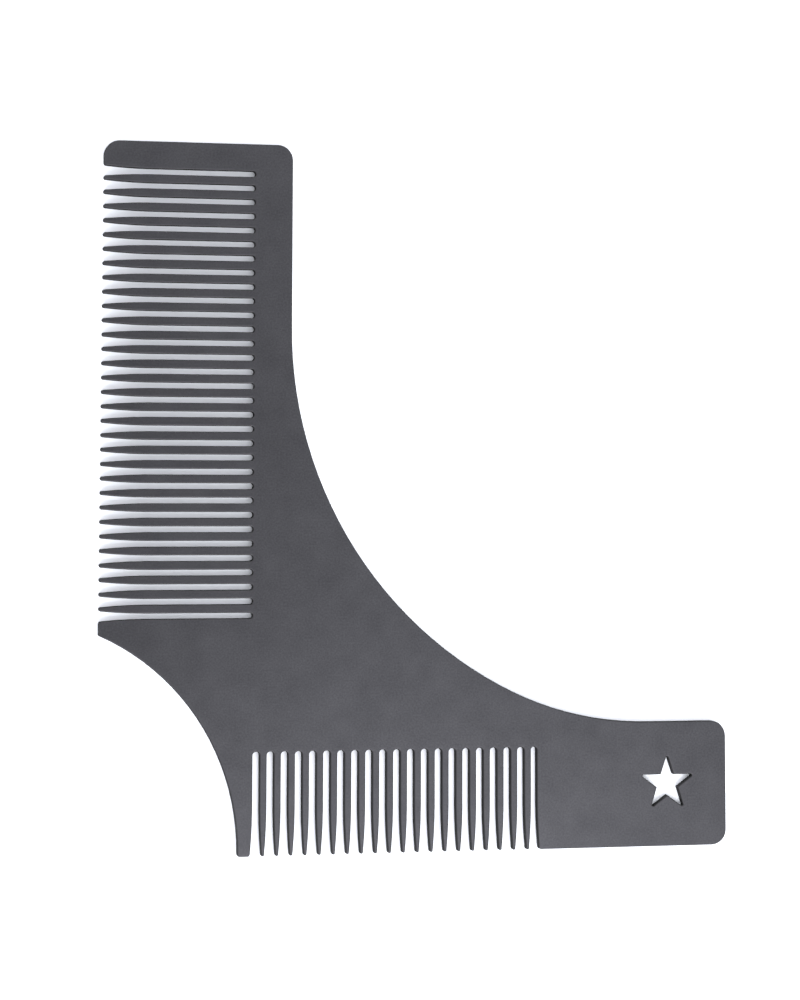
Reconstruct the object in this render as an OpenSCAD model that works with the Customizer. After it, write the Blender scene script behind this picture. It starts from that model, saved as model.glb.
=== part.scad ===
// Beard comb and shaping guide, cut from one flat sheet of stainless steel.
// The plate lies on its back: X runs along the handle, Y up the long arm, Z through
// the sheet. The origin is the middle of the outline, on the back face.

/* [Plate] */
// Width from the long comb's tooth tips to the end of the handle
overall_w = 104.2; // [97:0.1:130]
// Height from the top edge to the short comb's tooth tips
overall_h = 114.3; // [104:0.1:140]
// Thickness of the sheet
plate_t = 1.5; // [1:0.1:2]
// Radius of the corners at the arm's top and the handle's end
corner_r = 2.5; // [1:0.1:4]
// Radius that breaks the small corners beside the teeth and at the leg's foot
nick_r = 0.4; // [0.2:0.05:0.5]

/* [Teeth] */
// Distance from one tooth to the next, the same in both combs
tooth_pitch = 2.3; // [2:0.05:2.8]
// Length over which a tooth narrows towards its tip
taper_len = 7.8; // [5:0.1:10]

/* [Long comb] */
// Number of teeth along the arm
long_teeth = 31; // [20:1:35]
// Length of the arm's teeth from slot root to tip
long_tooth_len = 24.7; // [18:0.1:30]
// Width an arm's tooth narrows to at its tip
long_tip_w = 0.6; // [0.4:0.05:0.7]
// Width of the slots between the arm's teeth
long_slot_w = 0.92; // [0.8:0.02:1.2]
// Width of the arm's last slot, beside solid plate
long_last_slot_w = 0.86; // [0.8:0.02:1.2]
// Solid bar above the first slot of the arm
top_bar_h = 4.45; // [3:0.05:8]
// Solid spine behind the arm's teeth
spine_w = 6.15; // [4:0.05:10]
// Height of the blunt face below the arm's last slot
nose_h = 2.6; // [1.5:0.1:4]

/* [Short comb] */
// Number of teeth along the bottom edge
short_teeth = 20; // [12:1:22]
// Length of the bottom teeth from slot root to tip
short_tooth_len = 16.5; // [12:0.1:18]
// Width a bottom tooth narrows to at its tip
short_tip_w = 0.45; // [0.4:0.05:0.7]
// Width of the slots between the bottom teeth
short_slot_w = 1.16; // [0.8:0.02:1.2]
// Width of the last bottom slot, beside solid plate
short_last_slot_w = 1; // [0.8:0.02:1.2]
// Distance from the arm's slot roots to the first bottom slot
short_start = 0.15; // [0:0.05:3]
// Width of the leg beside the first bottom slot
leg_w = 2.35; // [1.5:0.05:4]
// Height above the tooth tips where the chin curve stands upright
chin_low = 0.6; // [0:0.1:3]

/* [Handle and guide curve] */
// Height of the handle
handle_h = 20.25; // [19:0.05:26]
// Radius of the guide curve's long part
guide_r = 65.4; // [56:0.1:75]
// Radius where the guide curve runs out into the handle
runout_r = 53.5; // [45:0.1:55]
// Angle the run-out turns through
runout_turn = 27; // [10:1:30]

/* [Hanging star] */
// Distance from the star's middle to the handle's end
star_inset = 10.1; // [8:0.1:12]
// Reach of the star's points from its middle, before they are rounded
star_r = 4.85; // [3.5:0.05:5]
// Radius that rounds the star's points
star_tip_r = 0.2; // [0.1:0.05:0.3]

/* [Hidden] */
// how far cutting shapes run past the plate
over = 1;
// an arc that carries on from an edge is this much larger, so that the two cross
lap = 0.002;
left_x = -overall_w / 2;
right_x = overall_w / 2;
top_y = overall_h / 2;
bottom_y = -overall_h / 2;

root_x = left_x + long_tooth_len;
arm_x = root_x + spine_w;
first_long_y = top_y - top_bar_h - long_slot_w / 2;
nose_y = first_long_y - long_teeth * tooth_pitch + long_slot_w / 2
    - long_last_slot_w - nose_h;

first_short_x = root_x + short_start + short_slot_w / 2;
short_root_y = bottom_y + short_tooth_len;
leg_x = root_x + short_start - leg_w;
chin_y = bottom_y + chin_low;
chin_r = (pow(leg_x - left_x, 2) + pow(nose_y - chin_y, 2)) / (2 * (leg_x - left_x));

handle_y = bottom_y + handle_h;
runout_shift = guide_r - runout_r;
guide_x = arm_x + guide_r;
guide_y = handle_y + runout_r + runout_shift * cos(runout_turn);
runout_x = guide_x - runout_shift * sin(runout_turn);
runout_y = handle_y + runout_r;

star_x = right_x - star_inset;
star_y = (handle_y + bottom_y) / 2;
// straight lines drawn from point to point cross at this distance from the middle
star_waist = star_r * cos(72) / cos(36);
// a sharp point of the star is this many degrees wide on either side of its middle
star_half = 18;
// sides of the small circles, and of the long curves
$fn = 96;
long_fn = 1440;

function polar(reach, turn) = reach * [cos(turn), sin(turn)];

// a tooth's flank is an arc that starts along the slot's side
function flank_r(tooth_w, tip_w) =
    let (narrowing = (tooth_w - tip_w) / 2)
    (pow(taper_len, 2) + pow(narrowing, 2)) / (2 * narrowing);

// the tip's end is a circle that meets both flanks of the tooth
function tip_r(tooth_w, tip_w) =
    let (flank = flank_r(tooth_w, tip_w))
    (pow(flank, 2) - pow(flank - tooth_w / 2, 2) - pow(taper_len, 2))
        / (2 * (flank - taper_len));

// the waste outside a rounded corner, for the corner that points to +x and +y
module corner_waste(r) {
    difference() {
        square([r + over, r + over]);
        circle(r + lap);
    }
}

// one side of a slot's mouth. The slot runs along +x, w wide, and opens at taper_len;
// flank is the radius of this side and end_r rounds the end of the tooth or corner
module mouth_side(w, flank, end_r) {
    flank_y = w / 2 + flank - lap;
    end_x = taper_len - end_r;
    end_y = flank_y - sqrt(pow(flank - end_r, 2) - pow(end_x, 2));
    meet_x = end_x * flank / (flank - end_r);
    difference() {
        square([taper_len + over, end_y]);
        intersection() {
            translate([0, flank_y]) circle(flank, $fn = long_fn);
            translate([-over, 0]) square([meet_x + over, flank_y]);
        }
        translate([end_x, end_y]) circle(end_r + lap);
    }
}

// one slot: round root at x = 0, mouth at x = len
module slot(len, w, flank, end_r_above, end_r_below) {
    translate([w / 2, 0]) circle(d = w);
    translate([w / 2, -w / 2]) square([len - taper_len - w / 2 + over, w]);
    translate([len - taper_len, 0]) {
        mouth_side(w, flank, end_r_above);
        mirror([0, 1]) mouth_side(w, flank, end_r_below);
    }
}

// the slots of one comb, stepping along -y, with a broken corner at either end
module slot_row(teeth, len, w, last_w, tip_w) {
    flank = flank_r(tooth_pitch - w, tip_w);
    end_r = tip_r(tooth_pitch - w, tip_w);
    slot(len, w, flank, nick_r, end_r);
    for (i = [1 : teeth - 1])
        translate([0, -i * tooth_pitch]) slot(len, w, flank, end_r, end_r);
    translate([0, (w - last_w) / 2 - teeth * tooth_pitch])
        slot(len, last_w, flank, end_r, nick_r);
}

// everything above and to the right of the guide curve
module guide_waste() {
    far = overall_w + overall_h;
    difference() {
        translate([guide_x, guide_y]) circle(guide_r + lap, $fn = long_fn);
        translate([guide_x, guide_y]) rotate(-runout_turn)
            translate([0, -far]) square([far, far]);
    }
    translate([runout_x, runout_y]) circle(runout_r + 2 * lap, $fn = long_fn);
    translate([arm_x, guide_y]) square([far, far]);
    translate([runout_x, handle_y]) square([far, far]);
}

// the round bite between the long comb's nose and the leg
module chin_waste() {
    translate([leg_x - chin_r, chin_y]) circle(chin_r, $fn = long_fn);
}

// a star whose points end in circles that meet both of their sides
module star_hole() {
    end_x = star_r - star_tip_r / sin(star_half);
    meet_x = star_r - star_tip_r * cos(star_half) / tan(star_half);
    meet_y = star_tip_r * cos(star_half);
    meet_r = norm([meet_x, meet_y]);
    meet_turn = atan2(meet_y, meet_x);
    turns = [for (i = [0 : 4]) 90 + 72 * i];
    polygon([for (turn = turns) each [polar(meet_r, turn - meet_turn),
        polar(meet_r, turn + meet_turn), polar(star_waist, turn + 36)]]);
    for (turn = turns) rotate(turn) translate([end_x, 0]) circle(star_tip_r + lap);
}

module outline() {
    difference() {
        translate([left_x, bottom_y]) square([overall_w, overall_h]);
        guide_waste();
        chin_waste();
        translate([left_x + corner_r, top_y - corner_r])
            mirror([1, 0]) corner_waste(corner_r);
        translate([arm_x - corner_r, top_y - corner_r]) corner_waste(corner_r);
        translate([right_x - corner_r, handle_y - corner_r]) corner_waste(corner_r);
        translate([right_x - corner_r, bottom_y + corner_r])
            mirror([0, 1]) corner_waste(corner_r);
        translate([leg_x + nick_r, bottom_y + nick_r]) rotate(180) corner_waste(nick_r);
    }
}

module comb_plate() {
    color("#5b5b60")
        linear_extrude(plate_t)
            difference() {
                outline();
                translate([root_x, first_long_y]) mirror([1, 0])
                    slot_row(long_teeth, long_tooth_len, long_slot_w, long_last_slot_w, long_tip_w);
                translate([first_short_x, short_root_y]) rotate(-90) mirror([0, 1])
                    slot_row(short_teeth, short_tooth_len, short_slot_w, short_last_slot_w,
                        short_tip_w);
                translate([star_x, star_y]) star_hole();
            }
}

comb_plate();
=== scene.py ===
"""Beard comb and shaping guide: one plate of stainless steel, tumbled and coated dark grey."""
import math

import bmesh
import bpy
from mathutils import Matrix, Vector


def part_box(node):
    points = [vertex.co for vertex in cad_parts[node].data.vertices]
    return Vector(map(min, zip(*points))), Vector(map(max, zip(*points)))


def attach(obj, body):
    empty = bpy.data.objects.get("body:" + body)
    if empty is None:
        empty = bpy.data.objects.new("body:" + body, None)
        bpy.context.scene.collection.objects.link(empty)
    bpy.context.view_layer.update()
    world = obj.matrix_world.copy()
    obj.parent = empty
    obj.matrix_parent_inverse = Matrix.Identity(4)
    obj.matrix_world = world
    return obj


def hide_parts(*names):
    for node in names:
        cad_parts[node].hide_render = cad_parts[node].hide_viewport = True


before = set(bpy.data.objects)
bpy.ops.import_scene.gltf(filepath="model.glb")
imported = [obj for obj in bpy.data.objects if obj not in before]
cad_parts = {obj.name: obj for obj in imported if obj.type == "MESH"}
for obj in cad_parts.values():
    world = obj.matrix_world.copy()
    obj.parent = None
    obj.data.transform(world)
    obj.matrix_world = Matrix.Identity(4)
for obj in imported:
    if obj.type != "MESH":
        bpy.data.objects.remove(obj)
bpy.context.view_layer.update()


# ---------------------------------------------------------------------------------------
# The comb plate. One sheet of stainless steel, cut into a comb on its left, a comb at its
# foot, a guide curve and a handle with a star in it. Its edges are tumbled round, and all of
# it is coated dark grey.

WELD = 1e-6    # corners of the solid's mesh that lie this close are one corner
FLAT_ANGLE = math.radians(0.05)    # triangles that lie within this angle are one flat face
FLAT_NORMAL_Z = 0.999    # a face of the sheet looks up or down at least this squarely
EDGE_ROUND = 0.0002    # how far tumbling has rounded the sheet's edges
ROUND_STEPS = 4    # faces from the sheet's face round to the cut wall
ROUND_PROFILE = 0.5    # the bevel's value for a true quarter circle
SMOOTH_ANGLE = math.radians(35)    # edges sharper than this stay crisp

FACE_TONES = ("#2d2d31", "#3b3b3f")    # darkest and lightest grey of the coated faces
# painted shade: the dark grey painted on the tumbled rims and the cut walls
PAINTED_WALL_SHADE = "#19191b"
GRIT_SIZE = 0.0003
GRIT_LAYERS = 2.0
GRIT_HARSHNESS = 0.6
CLOUD_SIZE = 0.004
CLOUD_LAYERS = 3.0
CLOUD_SHARE = 0.35    # the rest of the tone comes from the grit
TONE_ENDS = (0.3, 0.7)    # noise values that give the darkest and the lightest grey
METAL = (0.8, 0.0)    # these three go from the sheet's faces to the cut walls
GLOSS = (0.5, 0.2)
ROUGHNESS = (0.32, 0.9)
BUMP_STRENGTH = 0.15
BUMP_HEIGHT = 0.00001


def is_flat(face):
    """Says whether a face is part of the sheet's front or back."""
    return abs(face.normal.z) > FLAT_NORMAL_Z


bpy.ops.object.select_all(action="DESELECT")
cad_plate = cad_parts["comb_plate"]
cad_plate.select_set(True)
bpy.context.view_layer.objects.active = cad_plate
bpy.ops.object.duplicate()
plate = bpy.context.view_layer.objects.active
plate.name = "coated_plate"
plate.data.materials.clear()

bpy.ops.object.mode_set(mode="EDIT")
bpy.ops.mesh.select_mode(type="EDGE")
bpy.ops.mesh.select_all(action="SELECT")
bpy.ops.mesh.remove_doubles(threshold=WELD)
bpy.ops.mesh.dissolve_limited(angle_limit=FLAT_ANGLE)
bpy.ops.mesh.select_all(action="DESELECT")
cut = bmesh.from_edit_mesh(plate.data)
for edge in cut.edges:
    flat_sides = sum(is_flat(face) for face in edge.link_faces)
    edge.select_set(flat_sides == 1)
bmesh.update_edit_mesh(plate.data)
bpy.ops.mesh.bevel(offset=EDGE_ROUND, segments=ROUND_STEPS, profile=ROUND_PROFILE,
                   clamp_overlap=False)
bpy.ops.mesh.select_all(action="SELECT")
bpy.ops.mesh.normals_make_consistent(inside=False)
bpy.ops.object.mode_set(mode="OBJECT")
bpy.ops.object.shade_smooth_by_angle(angle=SMOOTH_ANGLE)
weigh = plate.modifiers.new("flat_faces_stay_flat", "WEIGHTED_NORMAL")
weigh.keep_sharp = True
bpy.ops.object.modifier_apply(modifier=weigh.name)

# 0 on the sheet's faces, rising round the tumbled edge to 1 on the cut walls; it sets where
# the painted shade and the duller finish go
turn = plate.data.attributes.new("edge_turn", "FLOAT", "FACE")
turn.data.foreach_set("value", [face.normal.xy.length for face in plate.data.polygons])


def linear(code):
    """Turns an sRGB hex colour into a shader's linear colour, by the sRGB standard's curve."""
    parts = [int(code[i:i + 2], 16) / 255 for i in (1, 3, 5)]
    return [p / 12.92 if p <= 0.04045 else ((p + 0.055) / 1.055) ** 2.4 for p in parts] + [1]


def add(material, kind, settings, links):
    """Adds a node, sets its properties and inputs, and joins its inputs to other outputs."""
    node = material.node_tree.nodes.new(kind)
    for name, value in settings.items():
        if hasattr(node, name):
            setattr(node, name, value)
        else:
            node.inputs[name].default_value = value
    for name, source in links.items():
        material.node_tree.links.new(source, node.inputs[name])
    return node


def from_face_to_wall(material, edge, ends):
    """Runs a value from the sheet's faces, its first end, to the cut walls, its second."""
    step = add(material, "ShaderNodeMapRange", {"To Min": ends[0], "To Max": ends[1]},
               {"Value": edge})
    return step.outputs["Result"]


def coated_steel(name):
    """Dark grey coating over tumbled stainless steel: a dull metal sheen with a fine grit."""
    made = bpy.data.materials.new(name)
    made.use_nodes = True
    made.node_tree.nodes.clear()
    place = add(made, "ShaderNodeTexCoord", {}, {}).outputs["Object"]
    # the fine grit that tumbling leaves
    grit = add(made, "ShaderNodeTexNoise",
               {"Scale": 1 / GRIT_SIZE, "Detail": GRIT_LAYERS, "Roughness": GRIT_HARSHNESS},
               {"Vector": place})
    # soft patches a few millimetres wide, faintly lighter or darker
    cloud = add(made, "ShaderNodeTexNoise", {"Scale": 1 / CLOUD_SIZE, "Detail": CLOUD_LAYERS},
                {"Vector": place})
    both = add(made, "ShaderNodeMix", {"data_type": "FLOAT", "Factor": CLOUD_SHARE},
               {"A": grit.outputs["Fac"], "B": cloud.outputs["Fac"]})
    ramp = add(made, "ShaderNodeValToRGB", {}, {"Fac": both.outputs["Result"]})
    for stop, position, tone in zip(ramp.color_ramp.elements, TONE_ENDS, FACE_TONES):
        stop.position = position
        stop.color = linear(tone)
    # the rims and the cut walls get painted shade, a darker grey than the faces, and are far
    # less shiny
    edge = add(made, "ShaderNodeAttribute", {"attribute_name": "edge_turn"}, {}).outputs["Fac"]
    shade = add(made, "ShaderNodeMix", {"data_type": "RGBA"}, {"Factor": edge})
    colour_inputs = [socket for socket in shade.inputs if socket.type == "RGBA"]
    colour_inputs[1].default_value = linear(PAINTED_WALL_SHADE)
    made.node_tree.links.new(ramp.outputs["Color"], colour_inputs[0])
    colour = [socket for socket in shade.outputs if socket.type == "RGBA"][0]
    bump = add(made, "ShaderNodeBump", {"Strength": BUMP_STRENGTH, "Distance": BUMP_HEIGHT},
               {"Height": grit.outputs["Fac"]})
    shader = add(made, "ShaderNodeBsdfPrincipled", {},
                 {"Base Color": colour, "Normal": bump.outputs["Normal"],
                  "Metallic": from_face_to_wall(made, edge, METAL),
                  "Specular IOR Level": from_face_to_wall(made, edge, GLOSS),
                  "Roughness": from_face_to_wall(made, edge, ROUGHNESS)})
    add(made, "ShaderNodeOutputMaterial", {}, {"Surface": shader.outputs["BSDF"]})
    return made


# gives the eye a dull dark grey metal that lightens softly towards the light, with painted
# shade darkening its edges
gunmetal = coated_steel("gunmetal_coated_steel")
plate.data.materials.append(gunmetal)

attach(plate, "root")
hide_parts("comb_plate")


# ---------------------------------------------------------------------------------------
# The floor is a plain white board, far wider than the comb.

FLOOR_SIZE = 6.0
BOARD_COLOUR = "#e4e7ef"
BOARD_ROUGHNESS = 0.9

back_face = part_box("comb_plate")[0]


def matt(name, colour, roughness):
    """A plain matt surface of one colour, for what stands round the comb."""
    made = bpy.data.materials.new(name)
    made.use_nodes = True
    paint = made.node_tree.nodes["Principled BSDF"]
    paint.inputs["Base Color"].default_value = linear(colour)
    paint.inputs["Roughness"].default_value = roughness
    return made


bpy.ops.object.select_all(action="DESELECT")
bpy.ops.mesh.primitive_plane_add(size=FLOOR_SIZE, location=(0, 0, back_face.z))
floor = bpy.context.view_layer.objects.active
floor.name = "white_board"
# gives the eye a plain white board that goes faintly blue in shade
floor.data.materials.append(matt("white_board", BOARD_COLOUR, BOARD_ROUGHNESS))


# ---------------------------------------------------------------------------------------
# Light and camera. The room is white, a soft panel stands at the comb's foot, and a dark
# card hangs above the arm beside the camera. Only the coating's sheen sees the card, which
# is why the arm looks darker than the handle.

PANEL_PLACE = Vector((0.05, -0.27, 0.38))
PANEL_AIM = Vector((0.0, -0.04, 0.0))
PANEL_SIZE = (0.26, 0.22)
PANEL_WATTS = 1.95
CARD_PLACE = (-0.07, 0.0, 0.46)
CARD_SIZE = (0.18, 0.20)
CARD_COLOUR = "#101010"
CARD_ROUGHNESS = 1.0
ROOM_COLOUR = (1, 1, 1, 1)
ROOM_STRENGTH = 2.0
SENSOR_WIDTH = 36    # this and the lens's length are in millimetres
LENS_LENGTH = 97.39
LENS_SHIFT = -0.2482    # the frame hangs below the lens's axis by this share of its height
SIGHT_END = 20
CAMERA_PLACE = (-0.09763, 0.00117, 0.43385)
CAMERA_TURN = (4.991, -12.310, 0.150)    # degrees

lamp = bpy.data.lights.new("panel_at_foot", "AREA")
lamp.shape = "RECTANGLE"
lamp.size, lamp.size_y = PANEL_SIZE
lamp.energy = PANEL_WATTS
panel = bpy.data.objects.new("panel_at_foot", lamp)
bpy.context.scene.collection.objects.link(panel)
panel.location = PANEL_PLACE
panel.rotation_euler = (PANEL_PLACE - PANEL_AIM).to_track_quat("Z", "Y").to_euler()
panel.visible_camera = False

bpy.ops.object.select_all(action="DESELECT")
bpy.ops.mesh.primitive_plane_add(size=1, location=CARD_PLACE)
card = bpy.context.view_layer.objects.active
card.name = "dark_card"
card.scale = (*CARD_SIZE, 1)
bpy.ops.object.transform_apply(location=False, rotation=False, scale=True)
card.data.materials.append(matt("dark_card", CARD_COLOUR, CARD_ROUGHNESS))
card.visible_camera = False
card.visible_diffuse = False
card.visible_shadow = False

room = bpy.data.worlds.new("white_room")
room.use_nodes = True
room.node_tree.nodes["Background"].inputs["Color"].default_value = ROOM_COLOUR
room.node_tree.nodes["Background"].inputs["Strength"].default_value = ROOM_STRENGTH
bpy.context.scene.world = room
bpy.context.scene.view_settings.view_transform = "Standard"

lens = bpy.data.cameras.new("camera")
lens.sensor_width = SENSOR_WIDTH
lens.lens = LENS_LENGTH
lens.shift_y = LENS_SHIFT
lens.clip_end = SIGHT_END
camera = bpy.data.objects.new("camera", lens)
bpy.context.scene.collection.objects.link(camera)
camera.location = CAMERA_PLACE
camera.rotation_euler = [math.radians(angle) for angle in CAMERA_TURN]
bpy.context.scene.camera = camera
